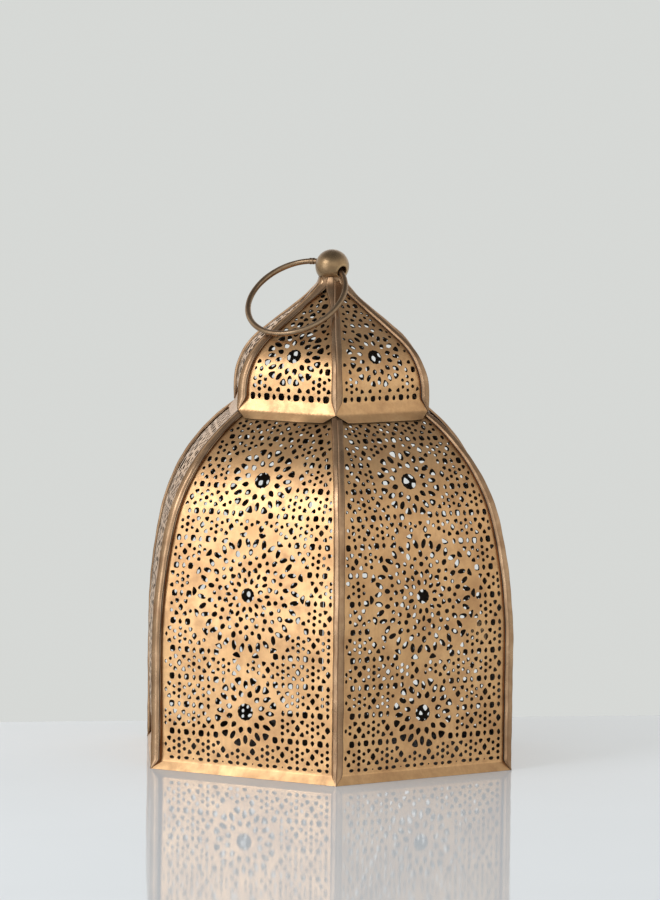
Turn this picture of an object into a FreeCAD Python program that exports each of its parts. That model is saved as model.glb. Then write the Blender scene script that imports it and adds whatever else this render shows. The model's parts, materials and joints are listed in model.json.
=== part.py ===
"""A small six-sided Moroccan metal lantern for a tealight.

Millimetres, +Z up.  The lantern stands on z = 0 with its axis on Z and one corner toward -Y.
Every wall piece is drawn facing +X and then turned about Z into its place.
"""
import FreeCAD, Part
import math
import os
import Sketcher

Vector = FreeCAD.Vector

# Driving dimensions.  Lengths are millimetres, angles are degrees.  "flat" is the distance
# from the axis to the outer side of a panel, "inset" is how far a panel has moved in from it.
DIMENSIONS = {
    "sheet": 0.5,
    # body walls: upright, then two tangent curves in to the neck
    "body_flat": 66.0,
    "body_height": 134.0,
    "straight_height": 47.0,
    "shoulder_inset": 4.95,
    "shoulder_drop": 42.0,
    "neck_inset": 32.25,
    "foot_flare_height": 3.0,
    # dome walls: a short upright band, a round shoulder, a slope and a hollow sweep to the top
    "dome_set_out": 0.4,
    "ridge_flare": 1.75,
    "ridge_lift": 0.3,
    "band_rise": 5.0,
    "dome_straight_rise": 7.0,
    "dome_bend_inset": 9.45,
    "dome_bend_rise": 27.5,
    "dome_sweep_flat": 11.9,
    "dome_sweep_rise": 38.4,
    "dome_sweep_radius": 65.0,
    "dome_top_flat": 3.6,
    "dome_rise": 46.8,
    # the skirt that hangs from the ridge over the tops of the body walls
    "skirt_reach": 2.2,
    "skirt_drop": 3.1,
    "skirt_corner_cut": 5.0,
    # upright seams at the corners
    "rib_thickness": 1.6,
    "rib_proud": 2.4,
    "body_rib_depth": 5.0,
    "dome_rib_depth": 3.6,
    # floor and candle cup
    "floor_thickness": 0.6,
    "floor_rim_height": 4.5,
    "floor_clearance": 0.4,
    "cup_bore": 40.0,
    "cup_wall": 0.5,
    "cup_height": 12.0,
    "cup_lip": 1.0,
    "rivet_shank": 3.0,
    "rivet_head": 6.0,
    "rivet_head_height": 1.2,
    # door in the rear right wall
    "door_gap": 0.4,
    "door_edge_inset": 2.2,
    "door_height": 130.4,
    "knob_height": 42.0,
    "knob_edge_distance": 8.0,
    "knob_diameter": 5.5,
    "knob_neck": 2.6,
    "knob_flange_reach": 0.6,
    "knob_flange_height": 0.6,
    "knob_waist_height": 1.2,
    "knob_reach": 8.0,
    "knob_shank": 1.6,
    "knob_peen": 3.4,
    "knob_peen_height": 0.5,
    # hinges beside the rear corner
    "hinge_stand_off": 2.0,
    "hinge_corner_distance": 3.2,
    "hinge_low": 10.0,
    "hinge_high": 36.0,
    "knuckle_diameter": 3.0,
    "knuckle_length": 4.0,
    "knuckle_gap": 0.3,
    "pin_diameter": 1.2,
    "pin_clearance": 0.05,
    "pin_head": 2.2,
    "pin_head_height": 0.6,
    "leaf_length": 11.0,
    "leaf_thickness": 0.8,
    "bracket_width": 2.0,
    # spring stop that the door closes against
    "stop_height": 8.0,
    "stop_reach": 3.0,
    "stop_thickness": 0.8,
    "stop_clearance": 0.3,
    # hub where the dome seams meet, and the finial on top
    "hub_diameter": 6.0,
    "hub_length": 6.0,
    "stem_diameter": 4.0,
    "stem_into_ball": 2.6,
    "stem_below_hub": 4.0,
    "nut_flats": 7.0,
    "nut_height": 3.0,
    "washer_diameter": 10.0,
    "washer_thickness": 0.8,
    "ball_diameter": 12.9,
    "neck_diameter": 9.4,
    # carrying ring through the ball
    "ring_hole_diameter": 4.0,
    "ring_hole_azimuth": -51.0,
    "ring_hole_dip": 16.5,
    "ring_radius": 19.4,
    "ring_wire": 2.1,
    "ring_offset": 0.3,
    "ring_rest_angle": 38.4,
    "ferrule_diameter": 2.5,
    "ferrule_start": 26.5,
    "ferrule_sweep": 6.0,
}

# Turn of each wall and each corner about Z, from +X.
WALLS = {"front_left": -120, "front_right": -60, "right": 0, "back_right": 60, "back_left": 120, "left": 180}
CORNERS = {"front": -90, "front_right": -30, "back_right": 30, "back": 90, "back_left": 150, "front_left": 210}
DOOR_WALL = "back_right"
HALF_WALL = 30

# A sketch's own axes, by their number among its geometry.
LEVEL_AXIS = -1
VERTICAL_AXIS = -2

document = FreeCAD.newDocument("moroccan_lantern")
sizes = document.addObject("Spreadsheet::Sheet", "size")
for row, (name, plain_number) in enumerate(DIMENSIONS.items(), start=1):
    sizes.set(f"A{row}", name)
    sizes.set(f"B{row}", str(plain_number))
    sizes.setAlias(f"B{row}", name)
document.recompute()

pieces = []


def number(expression):
    """The value of an expression of the sheet's cells."""
    result = sizes.evalExpression(expression)
    return float(getattr(result, "Value", result))


def finish_piece(piece, label, placement=None):
    """Names a sub-part, puts it in its place and lists it for export."""
    piece.Label = label
    if placement is not None:
        piece.Placement = placement
    pieces.append(piece)
    return piece


def turned(angle):
    """A turn about the lantern's axis."""
    return FreeCAD.Placement(Vector(0, 0, 0), FreeCAD.Rotation(Vector(0, 0, 1), angle))


# ---------------------------------------------------------------- sketches and features

def new_sketch(body, name, plane):
    """A sketch on one of its body's own origin planes."""
    sketch = body.newObject("Sketcher::SketchObject", name)
    origin_plane = next(item for item in body.Origin.OriginFeatures if item.Role == plane)
    sketch.AttachmentSupport = [(origin_plane, "")]
    sketch.MapMode = "FlatFace"
    return sketch


def arc_between(start, end, radius, side):
    """The short arc from start to end.  Side is 1 when its centre is left of the way, else -1."""
    chord = end - start
    middle = start + chord * 0.5
    left = Vector(-chord.y, chord.x, 0).normalize()
    centre = middle + left * (side * math.sqrt(max(radius ** 2 - (chord.Length / 2) ** 2, 0)))
    first, last = (start, end) if side > 0 else (end, start)
    first_angle = math.atan2(first.y - centre.y, first.x - centre.x)
    last_angle = math.atan2(last.y - centre.y, last.x - centre.x)
    return Part.ArcOfCircle(Part.Circle(centre, Vector(0, 0, 1), radius), first_angle, last_angle)


def draw_outline(sketch, corners, arcs=None):
    """Draws a closed outline through corners, each a pair of expressions of the sheet.

    The line from a corner named in arcs is an arc instead: arcs[corner] = (radius, side).
    """
    arcs = arcs or {}
    points = [Vector(number(across), number(up), 0) for across, up in corners]
    ends = []
    for index, start in enumerate(points):
        end = points[(index + 1) % len(points)]
        if index in arcs:
            radius, side = arcs[index]
            item = sketch.addGeometry(arc_between(start, end, number(radius), side))
            ends.append((item, 1, 2) if side > 0 else (item, 2, 1))
        else:
            item = sketch.addGeometry(Part.LineSegment(start, end))
            ends.append((item, 1, 2))
    for index, (item, first, last) in enumerate(ends):
        following, following_first, _ = ends[(index + 1) % len(ends)]
        sketch.addConstraint(Sketcher.Constraint("Coincident", item, last, following, following_first))
    for index, (across, up) in enumerate(corners):
        item, first, _ = ends[index]
        for kind, expression, size, axis in (("DistanceX", across, points[index].x, VERTICAL_AXIS),
                                             ("DistanceY", up, points[index].y, LEVEL_AXIS)):
            if expression == "0":
                sketch.addConstraint(Sketcher.Constraint("PointOnObject", item, first, axis))
                continue
            place = sketch.addConstraint(Sketcher.Constraint(kind, -1, 1, item, first, size))
            sketch.setExpression(f"Constraints[{place}]", expression)
    for index, (radius, _) in arcs.items():
        item = ends[index][0]
        place = sketch.addConstraint(Sketcher.Constraint("Radius", item, number(radius)))
        sketch.setExpression(f"Constraints[{place}]", radius)


def add_pad(body, sketch, length):
    """Thickens a sketch to both sides of its plane."""
    pad = body.newObject("PartDesign::Pad", "pad")
    pad.Profile = sketch
    pad.SideType = "Symmetric"
    pad.setExpression("Length", length)
    sketch.Visibility = False
    return pad


def add_pocket(body, sketch):
    """Cuts a sketch through everything, to both sides of its plane."""
    pocket = body.newObject("PartDesign::Pocket", "pocket")
    pocket.Profile = sketch
    pocket.SideType = "Symmetric"
    pocket.Type = "ThroughAll"
    sketch.Visibility = False
    return pocket


def add_revolution(body, sketch):
    """Turns a half outline round the vertical axis of its sketch."""
    revolution = body.newObject("PartDesign::Revolution", "revolution")
    revolution.Profile = sketch
    revolution.ReferenceAxis = (sketch, ["V_Axis"])
    revolution.Angle = 360
    sketch.Visibility = False
    return revolution


def turned_body(label, corners, arcs=None, placement=None):
    """A round piece, from the half outline of its section."""
    body = document.addObject("PartDesign::Body", label)
    section = new_sketch(body, "section", "XZ_Plane")
    draw_outline(section, corners, arcs)
    add_revolution(body, section)
    return finish_piece(body, label, placement)


def cylinder(name, diameter, height, base_z="0"):
    """An upright cylinder on the axis."""
    item = document.addObject("Part::Cylinder", name)
    item.setExpression("Radius", f"({diameter}) / 2")
    item.setExpression("Height", height)
    item.setExpression("Placement.Base.z", base_z)
    return item


def prism(name, flats, height, base_z="0", turn=0):
    """An upright six-sided prism with a flat toward +X, turned about its axis."""
    item = document.addObject("Part::Prism", name)
    item.Polygon = 6
    item.setExpression("Circumradius", f"({flats}) / 2 / cos({HALF_WALL})")
    item.setExpression("Height", height)
    item.Placement = FreeCAD.Placement(Vector(0, 0, 0), FreeCAD.Rotation(Vector(0, 0, 1), turn + HALF_WALL))
    item.setExpression("Placement.Base.z", base_z)
    return item


def cut(name, base, tool):
    """Base with tool taken away."""
    item = document.addObject("Part::Cut", name)
    item.Base = base
    item.Tool = tool
    return item


def joined(name, *items):
    """Several solids fused into one."""
    item = document.addObject("Part::MultiFuse", name)
    item.Shapes = list(items)
    return item


def common(name, *items):
    """What several solids share."""
    item = document.addObject("Part::MultiCommon", name)
    item.Shapes = list(items)
    return item


# ---------------------------------------------------------------- outlines of the walls
# Heights and distances of the points where the walls' curves meet, as expressions.

SHOULDER_HEIGHT = "(size.body_height - size.shoulder_drop)"
SHOULDER_LEAN = f"(2 * atan(size.shoulder_inset / ({SHOULDER_HEIGHT} - size.straight_height)))"
NECK_CHORD_LEAN = "(atan((size.neck_inset - size.shoulder_inset) / size.shoulder_drop))"
NECK_LEAN = f"(2 * {NECK_CHORD_LEAN} - {SHOULDER_LEAN})"
FOOT_FLARE = f"(size.rib_proud * cos({HALF_WALL}))"

DOME_FLAT = "(size.body_flat - size.neck_inset + size.dome_set_out)"
RIDGE_HEIGHT = "(size.body_height + size.ridge_lift)"
BEND_LEAN = "(2 * atan(size.dome_bend_inset / (size.dome_bend_rise - size.dome_straight_rise)))"
DOME_TOP = "(size.body_height + size.dome_rise)"

# Reaches of tools that cut right past a wall: as a width, a distance from the axis and a height.
WIDER_THAN_A_WALL = "size.body_flat * 1.6"
BEYOND_THE_WALLS = "(size.body_flat * 1.5)"
ABOVE_THE_NECK = "size.body_height * 1.2"


def body_curve(scale="1", shift="0"):
    """The outer line of a body wall from its bend at the foot up to the neck: points and arcs.

    With scale 1 it is the line of a flat.  With 1 / cos(30) and a shift it is the line of a seam.
    """
    inset_lines = ["0", "size.shoulder_inset", "size.neck_inset"]
    heights = ["size.straight_height", SHOULDER_HEIGHT, "size.body_height"]
    return [(f"(size.body_flat - {inset}) * {scale} + {shift}", height)
            for inset, height in zip(inset_lines, heights)]


def arc_radii(scale="1"):
    """Radii of the two tangent arcs of a body wall, whose first leaves the upright part."""
    first_across = f"(size.shoulder_inset * {scale})"
    first_up = f"({SHOULDER_HEIGHT} - size.straight_height)"
    second_across = f"((size.neck_inset - size.shoulder_inset) * {scale})"
    second_up = "size.shoulder_drop"
    first_radius = f"({first_across}^2 + {first_up}^2) / (2 * {first_across})"
    turn = f"(atan({second_across} / {second_up}) - 2 * atan({first_across} / {first_up}))"
    second_radius = f"sqrt({second_across}^2 + {second_up}^2) / (2 * abs(sin({turn})))"
    side = 1 if number(turn) > 0 else -1
    return first_radius, second_radius, side


def offset_in(point, lean, distance="size.sheet"):
    """A point moved in from a wall that leans in by an angle, square to the wall."""
    across, up = point
    return f"{across} - {distance} * cos({lean})", f"{up} - {distance} * sin({lean})"


def trim_between_ribs(body, side_offset):
    """Cuts a wall back on both sides, square to the seams, to an offset from their middle planes."""
    slope = f"tan({HALF_WALL})"
    start = f"({side_offset}) / sin({HALF_WALL})"
    reach = f"({BEYOND_THE_WALLS} * {slope} - ({side_offset}) / cos({HALF_WALL}))"
    for name, sign in (("trim_left", ""), ("trim_right", "-")):
        sketch = new_sketch(body, name, "XY_Plane")
        draw_outline(sketch, [(start, "0"), (BEYOND_THE_WALLS, f"{sign}{reach}"), (start, f"{sign}{reach}")])
        add_pocket(body, sketch)


def body_wall(label, turn, foot_height, side_offset, top_cut=None):
    """One curved body panel with its foot flared out, between two seams."""
    body = document.addObject("PartDesign::Body", label)
    outer = body_curve()
    inner = [offset_in(outer[0], "0"), offset_in(outer[1], SHOULDER_LEAN), offset_in(outer[2], NECK_LEAN)]
    flare_top = "size.foot_flare_height"
    foot_slant = f"cos(atan({FOOT_FLARE} / size.foot_flare_height))"
    corners = [
        (f"size.body_flat + {FOOT_FLARE}", foot_height),
        ("size.body_flat", flare_top),
        *outer,
        *reversed(inner),
        ("size.body_flat - size.sheet", flare_top),
        (f"size.body_flat + {FOOT_FLARE} - size.sheet / {foot_slant}", foot_height),
    ]
    first_radius, second_radius, side = arc_radii()
    arcs = {
        2: (first_radius, 1),
        3: (second_radius, side),
        5: (f"{second_radius} - {side} * size.sheet", -side),
        6: (f"{first_radius} - size.sheet", -1),
    }
    profile = new_sketch(body, "profile", "XZ_Plane")
    draw_outline(profile, corners, arcs)
    add_pad(body, profile, WIDER_THAN_A_WALL)
    trim_between_ribs(body, side_offset)
    if top_cut:
        above = new_sketch(body, "top_cut", "XZ_Plane")
        draw_outline(above, [("0", top_cut), ("size.body_flat", top_cut),
                             ("size.body_flat", ABOVE_THE_NECK), ("0", ABOVE_THE_NECK)])
        add_pocket(body, above)
    return finish_piece(body, label, turned(turn))


def body_seam(label, turn):
    """One upright seam of the body at a corner, from the ground to the ridge."""
    body = document.addObject("PartDesign::Body", label)
    scale = f"1 / cos({HALF_WALL})"
    crest = body_curve(scale, "size.rib_proud")
    back = [(f"{across} - size.body_rib_depth", up) for across, up in crest]
    crest_foot = (crest[0][0], "0")
    back_foot = (back[0][0], "0")
    first_radius, second_radius, side = arc_radii(f"({scale})")
    corners = [crest_foot, *crest, *reversed(back), back_foot]
    arcs = {
        1: (first_radius, 1),
        2: (second_radius, side),
        4: (second_radius, -side),
        5: (first_radius, -1),
    }
    profile = new_sketch(body, "profile", "XZ_Plane")
    draw_outline(profile, corners, arcs)
    add_pad(body, profile, "size.rib_thickness")
    return finish_piece(body, label, turned(turn))


def dome_curve(scale="1", shift="0"):
    """The outer line of the dome above its band: upright end, bend, start of the sweep, top."""
    spots = [
        (DOME_FLAT, "size.dome_straight_rise"),
        (f"({DOME_FLAT} - size.dome_bend_inset)", "size.dome_bend_rise"),
        ("size.dome_sweep_flat", "size.dome_sweep_rise"),
        ("size.dome_top_flat", "size.dome_rise"),
    ]
    return [(f"{flat} * {scale} + {shift}", f"size.body_height + {rise}") for flat, rise in spots]


def bend_radius(scale="1"):
    """Radius of the dome's round shoulder, which leaves the upright band."""
    across = f"(size.dome_bend_inset * {scale})"
    up = "(size.dome_bend_rise - size.dome_straight_rise)"
    return f"({across}^2 + {up}^2) / (2 * {across})"


def dome_wall(label, turn):
    """One dome panel: skirt, ridge, plain band, round shoulder, slope and hollow sweep."""
    body = document.addObject("PartDesign::Body", label)
    outer = dome_curve()
    slope_across = f"({DOME_FLAT} - size.dome_bend_inset - size.dome_sweep_flat)"
    slope_lean = f"atan({slope_across} / (size.dome_sweep_rise - size.dome_bend_rise))"
    sweep_across = "(size.dome_sweep_flat - size.dome_top_flat)"
    sweep_up = "(size.dome_rise - size.dome_sweep_rise)"
    sweep_chord = f"sqrt({sweep_across}^2 + {sweep_up}^2)"
    sweep_lean = f"atan({sweep_across} / {sweep_up})"
    half_sweep = f"asin({sweep_chord} / 2 / size.dome_sweep_radius)"
    inner = [
        offset_in(outer[0], "0"),
        offset_in(outer[1], slope_lean),
        offset_in(outer[2], f"({sweep_lean} + {half_sweep})"),
        offset_in(outer[3], f"({sweep_lean} - {half_sweep})"),
    ]
    ridge = f"({DOME_FLAT} + size.ridge_flare)"
    band_top = "size.body_height + size.band_rise"
    skirt_foot = f"{RIDGE_HEIGHT} - size.skirt_drop"
    skirt_slant = "cos(atan(size.skirt_reach / size.skirt_drop))"
    corners = [
        (f"{ridge} + size.skirt_reach", skirt_foot),
        (ridge, RIDGE_HEIGHT),
        (DOME_FLAT, band_top),
        *outer,
        *reversed(inner),
        (f"{DOME_FLAT} - size.sheet", band_top),
        (f"{ridge} - size.sheet / {skirt_slant}", RIDGE_HEIGHT),
        (f"{ridge} + size.skirt_reach - size.sheet / {skirt_slant}", skirt_foot),
    ]
    arcs = {
        3: (bend_radius(), 1),
        5: ("size.dome_sweep_radius", -1),
        7: ("size.dome_sweep_radius + size.sheet", 1),
        9: (f"{bend_radius()} - size.sheet", -1),
    }
    profile = new_sketch(body, "profile", "XZ_Plane")
    draw_outline(profile, corners, arcs)
    add_pad(body, profile, WIDER_THAN_A_WALL)
    trim_between_ribs(body, "size.rib_thickness / 2")
    half_width = f"({ridge} * tan({HALF_WALL}))"
    for name, sign in (("skirt_cut_left", ""), ("skirt_cut_right", "-")):
        corner_cut = new_sketch(body, name, "YZ_Plane")
        foot = f"{skirt_foot} - size.sheet"
        draw_outline(corner_cut, [
            (f"{sign}({half_width} + size.skirt_reach - size.skirt_corner_cut)", foot),
            (f"{sign}({half_width} + size.skirt_reach + size.skirt_corner_cut)", foot),
            (f"{sign}({half_width} + size.skirt_reach + size.skirt_corner_cut)", RIDGE_HEIGHT),
            (f"{sign}({half_width} - size.rib_thickness)", RIDGE_HEIGHT),
        ])
        add_pocket(body, corner_cut)
    return finish_piece(body, label, turned(turn))


def dome_seam(label, turn):
    """One seam of the dome, from the ridge up to the hub, its underside level over the washer."""
    body = document.addObject("PartDesign::Body", label)
    scale = f"1 / cos({HALF_WALL})"
    crest = dome_curve(scale, "size.rib_proud")
    back = [(f"{across} - size.dome_rib_depth", up) for across, up in crest[:3]]
    hub_side = "size.hub_diameter / 2"
    hub_foot = f"{DOME_TOP} - size.hub_length"
    corners = [
        (crest[0][0], "size.body_height"),
        *crest,
        (hub_side, DOME_TOP),
        (hub_side, hub_foot),
        ("size.washer_diameter / 2", hub_foot),
        *reversed(back),
        (back[0][0], "size.body_height"),
    ]
    arcs = {
        1: (bend_radius(f"({scale})"), 1),
        3: ("size.dome_sweep_radius", -1),
        9: (bend_radius(f"({scale})"), -1),
    }
    profile = new_sketch(body, "profile", "XZ_Plane")
    draw_outline(profile, corners, arcs)
    add_pad(body, profile, "size.rib_thickness")
    return finish_piece(body, label, turned(turn))


# ---------------------------------------------------------------- floor and candle cup

def floor():
    """The six-sided floor with its upturned rim, its corners cut back to the seams."""
    flats = "2 * (size.body_flat - size.sheet - size.floor_clearance)"
    seam_back = f"(size.body_flat / cos({HALF_WALL}) + size.rib_proud - size.body_rib_depth)"
    plate = prism("floor_blank", flats, "size.floor_rim_height")
    corners = prism("floor_corners", f"2 * {seam_back}", "size.floor_rim_height", turn=HALF_WALL)
    inside = prism("floor_inside", f"{flats} - 2 * size.sheet", "size.floor_rim_height", "size.floor_thickness")
    inside_corners = prism("floor_inside_corners", f"2 * ({seam_back} - size.sheet)",
                           "size.floor_rim_height", "size.floor_thickness", HALF_WALL)
    hole = cylinder("rivet_hole", "size.rivet_shank", "size.floor_thickness")
    blank = common("floor_outline", plate, corners)
    hollow = common("floor_hollow", inside, inside_corners)
    finish_piece(cut("floor_tray", cut("floor_shell", blank, hollow), hole), "base_plate")


def candle_cup():
    """The round cup that holds a tealight, with a rolled lip and a hole for its rivet."""
    bottom = "size.floor_thickness"
    inner = "size.cup_bore / 2"
    outer = f"({inner} + size.cup_wall)"
    top = f"({bottom} + size.cup_height)"
    turned_body("candle_cup", [
        ("size.rivet_shank / 2", bottom),
        (outer, bottom),
        (outer, f"{top} - size.cup_wall"),
        (f"{outer} + size.cup_lip", f"{top} - size.cup_wall"),
        (f"{outer} + size.cup_lip", top),
        (inner, top),
        (inner, f"{bottom} + size.cup_wall"),
        ("size.rivet_shank / 2", f"{bottom} + size.cup_wall"),
    ])


def cup_rivet():
    """The rivet through cup and floor, flush underneath, with a low round head."""
    seat = "(size.floor_thickness + size.cup_wall)"
    head_edge = "(size.rivet_head / 2)"
    head_arc = f"({head_edge}^2 + size.rivet_head_height^2) / (2 * size.rivet_head_height)"
    turned_body("cup_rivet", [
        ("0", "0"),
        ("size.rivet_shank / 2", "0"),
        ("size.rivet_shank / 2", seat),
        (head_edge, seat),
        ("0", f"{seat} + size.rivet_head_height"),
    ], {3: (head_arc, 1)})


# ---------------------------------------------------------------- door furniture
# The door wall is drawn facing +X: its hinge is on the +Y side and its knob on the -Y side.

DOOR_TURN = WALLS[DOOR_WALL]
HINGE_ACROSS = "(size.body_flat + size.hinge_stand_off)"
HINGE_ALONG = f"(size.body_flat * tan({HALF_WALL}) - size.hinge_corner_distance)"
KNOB_ALONG = f"(size.knob_edge_distance - size.body_flat * tan({HALF_WALL}))"


def on_door(across, along, up):
    """The placement of a piece at a point given in the door wall's own directions."""
    spot = Vector(number(across), number(along), number(up))
    return turned(DOOR_TURN).multiply(FreeCAD.Placement(spot, FreeCAD.Rotation()))


def rectangle(low_across, low_up, high_across, high_up):
    """Four corners of an upright rectangle."""
    return [(low_across, low_up), (high_across, low_up), (high_across, high_up), (low_across, high_up)]


def door():
    """The whole rear right wall, cut free of the seams, with a hole for the knob's shank."""
    body = body_wall("door_panel", DOOR_TURN, "size.door_gap", "size.door_edge_inset", "size.door_height")
    hole = new_sketch(body, "knob_hole", "YZ_Plane")
    circle = hole.addGeometry(Part.Circle(Vector(number(KNOB_ALONG), number("size.knob_height"), 0),
                                          Vector(0, 0, 1), number("size.knob_shank / 2")))
    for kind, expression in (("DistanceX", KNOB_ALONG), ("DistanceY", "size.knob_height")):
        place = hole.addConstraint(Sketcher.Constraint(kind, -1, 1, circle, 3, number(expression)))
        hole.setExpression(f"Constraints[{place}]", expression)
    place = hole.addConstraint(Sketcher.Constraint("Radius", circle, number("size.knob_shank / 2")))
    hole.setExpression(f"Constraints[{place}]", "size.knob_shank / 2")
    pocket = body.newObject("PartDesign::Pocket", "knob_pocket")
    pocket.Profile = hole
    pocket.Type = "ThroughAll"
    pocket.Reversed = True


def door_knob():
    """The turned knob: ball end, waisted neck, shank through the sheet and peened end inside."""
    reach = "size.knob_reach"
    radius = "(size.knob_diameter / 2)"
    flange = "(size.knob_neck / 2 + size.knob_flange_reach)"
    knob = turned_body("door_knob", [
        ("0", "-size.sheet - size.knob_peen_height"),
        ("size.knob_peen / 2", "-size.sheet - size.knob_peen_height"),
        ("size.knob_peen / 2", "-size.sheet"),
        ("size.knob_shank / 2", "-size.sheet"),
        ("size.knob_shank / 2", "0"),
        (flange, "0"),
        (flange, "size.knob_flange_height"),
        ("size.knob_neck / 2", "size.knob_waist_height"),
        ("size.knob_neck / 2", f"{reach} - {radius} - sqrt({radius}^2 - (size.knob_neck / 2)^2)"),
        ("0", reach),
    ], {8: (radius, 1)})
    lying = FreeCAD.Placement(Vector(0, 0, 0), FreeCAD.Rotation(Vector(0, 1, 0), 90))
    knob.Placement = on_door("size.body_flat", KNOB_ALONG, "size.knob_height").multiply(lying)


def hinge(level_name, base):
    """One hinge: a leaf on the door, a bracket on the rear seam and the pin through both."""
    bore = "size.pin_diameter / 2 + size.pin_clearance"
    round_out = "size.knuckle_diameter / 2"
    lower_top = "size.knuckle_length"
    upper_low = "(size.knuckle_length + size.knuckle_gap)"
    upper_top = f"({upper_low} + size.knuckle_length)"
    axis = on_door(HINGE_ACROSS, HINGE_ALONG, base)

    leaf = document.addObject("PartDesign::Body", f"hinge_leaf_{level_name}")
    plate = new_sketch(leaf, "plate", "XZ_Plane")
    draw_outline(plate, rectangle("-size.hinge_stand_off", "0",
                                  "-size.hinge_stand_off + size.leaf_thickness", lower_top))
    pad = leaf.newObject("PartDesign::Pad", "plate_pad")
    pad.Profile = plate
    pad.setExpression("Length", "size.leaf_length")
    add_knuckle(leaf, round_out, "0", lower_top, bore)
    finish_piece(leaf, f"hinge_leaf_{level_name}", axis)

    bracket = document.addObject("PartDesign::Body", f"hinge_bracket_{level_name}")
    to_seam = (f"({HINGE_ALONG} * cos({HALF_WALL}) - {HINGE_ACROSS} * sin({HALF_WALL}))")
    arm = new_sketch(bracket, "arm", "XZ_Plane")
    draw_outline(arm, rectangle("-size.bracket_width / 2", upper_low, "size.bracket_width / 2", upper_top))
    pad = bracket.newObject("PartDesign::Pad", "arm_pad")
    pad.Profile = arm
    pad.Reversed = True
    pad.setExpression("Length", f"-1 * {to_seam} - size.rib_thickness / 2")
    add_knuckle(bracket, round_out, upper_low, upper_top, "size.pin_diameter / 2")
    along_seam = FreeCAD.Placement(Vector(0, 0, 0), FreeCAD.Rotation(Vector(0, 0, 1), HALF_WALL))
    finish_piece(bracket, f"hinge_bracket_{level_name}", axis.multiply(along_seam))

    turned_body(f"hinge_pin_{level_name}", [
        ("0", "0"),
        ("size.pin_diameter / 2", "0"),
        ("size.pin_diameter / 2", upper_top),
        ("size.pin_head / 2", upper_top),
        ("size.pin_head / 2", f"{upper_top} + size.pin_head_height"),
        ("0", f"{upper_top} + size.pin_head_height"),
    ], placement=axis)


def add_knuckle(body, outer, low, high, bore):
    """Adds a rolled knuckle round the hinge axis and bores it for the pin."""
    section = new_sketch(body, "knuckle", "XZ_Plane")
    draw_outline(section, rectangle("0", low, outer, high))
    add_revolution(body, section)
    hole = new_sketch(body, "bore", "XZ_Plane")
    draw_outline(hole, rectangle("0", low, bore, high))
    groove = body.newObject("PartDesign::Groove", "bore_groove")
    groove.Profile = hole
    groove.ReferenceAxis = (hole, ["V_Axis"])
    groove.Angle = 360


def door_stop():
    """The spring tongue on the front side seam that the closed door rests beside."""
    body = document.addObject("PartDesign::Body", "door_stop")
    face = "(size.body_flat - size.sheet - size.stop_clearance)"
    low = "(size.knob_height - size.stop_height / 2)"
    profile = new_sketch(body, "tongue", "XZ_Plane")
    draw_outline(profile, rectangle(f"{face} - size.stop_thickness", low, face, f"{low} + size.stop_height"))
    pad = body.newObject("PartDesign::Pad", "tongue_pad")
    pad.Profile = profile
    pad.setExpression("Length", f"size.body_flat * tan({HALF_WALL})")
    trim_between_ribs(body, "size.rib_thickness / 2")
    inside = new_sketch(body, "inner_end", "XZ_Plane")
    draw_outline(inside, rectangle("0", "0", "size.body_flat", "size.body_height"))
    shorten = body.newObject("PartDesign::Pocket", "shorten")
    shorten.Profile = inside
    shorten.Reversed = True
    shorten.setExpression("Length", f"size.body_flat * tan({HALF_WALL}) - size.door_edge_inset"
                                    f" / cos({HALF_WALL}) - size.stop_reach")
    finish_piece(body, "door_stop", turned(DOOR_TURN))


# ---------------------------------------------------------------- hub, finial and ring

BALL_CENTRE = f"({DOME_TOP} + size.ball_diameter / 2)"


def ring_directions():
    """Unit vectors: along the ball's hole, and from the ball to the middle of the lying ring."""
    azimuth = math.radians(number("size.ring_hole_azimuth"))
    dip = math.radians(number("size.ring_hole_dip"))
    rest = math.radians(number("size.ring_rest_angle"))
    along = Vector(math.cos(dip) * math.cos(azimuth), math.cos(dip) * math.sin(azimuth), -math.sin(dip))
    level = Vector(math.sin(azimuth), -math.cos(azimuth), 0)
    down = along.cross(level)
    return along, level * math.cos(rest) + down * math.sin(rest)


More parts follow.
